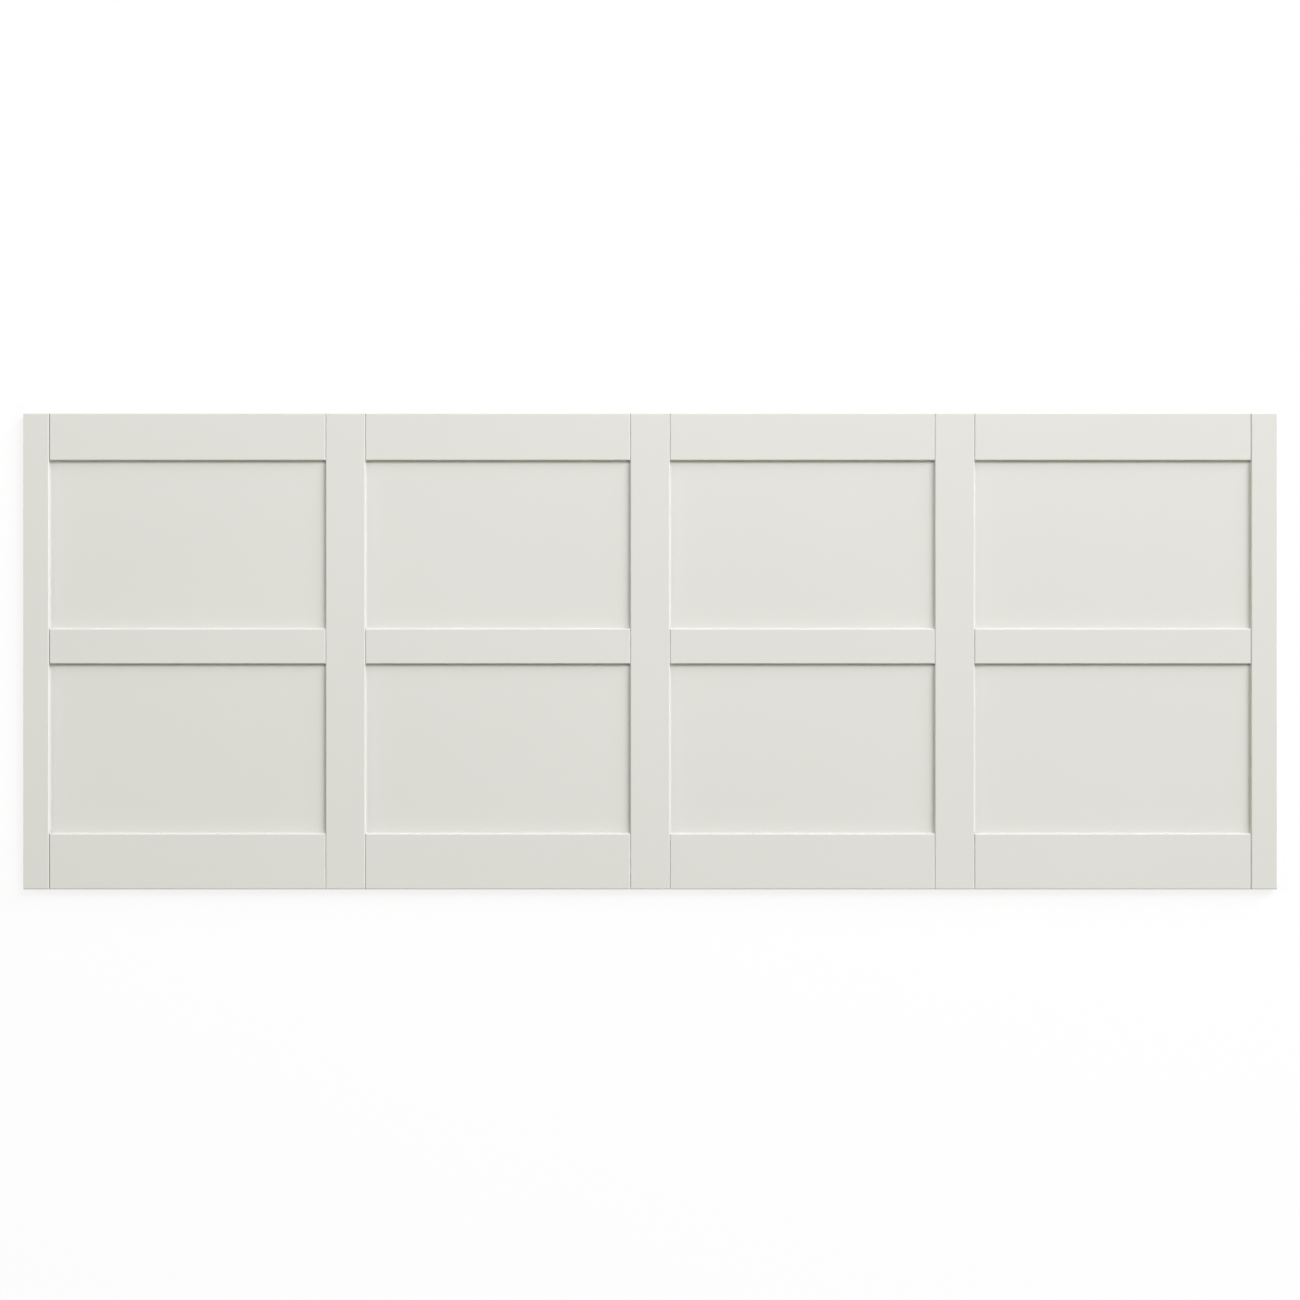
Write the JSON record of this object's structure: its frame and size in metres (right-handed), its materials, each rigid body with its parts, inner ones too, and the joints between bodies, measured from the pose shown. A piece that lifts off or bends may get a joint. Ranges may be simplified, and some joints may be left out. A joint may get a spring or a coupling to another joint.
{
  "type": "wainscot panel",
  "caption": "Painted Shaker wainscot panel: flat recessed panels in a frame of full-height stiles with tongued rails between them, eased face edges.",
  "frame": {"origin": "middle of the back, on the plane that lies against the wall; the panel lies on its back on the floor", "axes": "+X along the wall to the right, +Y up the wall towards the top rail, +Z out of the panel's face"},
  "size_m": [2.409, 0.915, 0.018],
  "materials": {
    "frame_paint": "satin",
    "panel_paint": "satin"
  },
  "bodies": {
    "root": {"left_end_stile": "frame_paint", "left_mid_stile": "frame_paint", "centre_stile": "frame_paint", "right_mid_stile": "frame_paint", "right_end_stile": "frame_paint", "bottom_rail_1": "frame_paint", "bottom_rail_2": "frame_paint", "bottom_rail_3": "frame_paint", "bottom_rail_4": "frame_paint", "mid_rail_1": "frame_paint", "mid_rail_2": "frame_paint", "mid_rail_3": "frame_paint", "mid_rail_4": "frame_paint", "top_rail_1": "frame_paint", "top_rail_2": "frame_paint", "top_rail_3": "frame_paint", "top_rail_4": "frame_paint", "lower_panel_1": "panel_paint", "lower_panel_2": "panel_paint", "lower_panel_3": "panel_paint", "lower_panel_4": "panel_paint", "upper_panel_1": "panel_paint", "upper_panel_2": "panel_paint", "upper_panel_3": "panel_paint", "upper_panel_4": "panel_paint"}
  },
  "joints": []
}
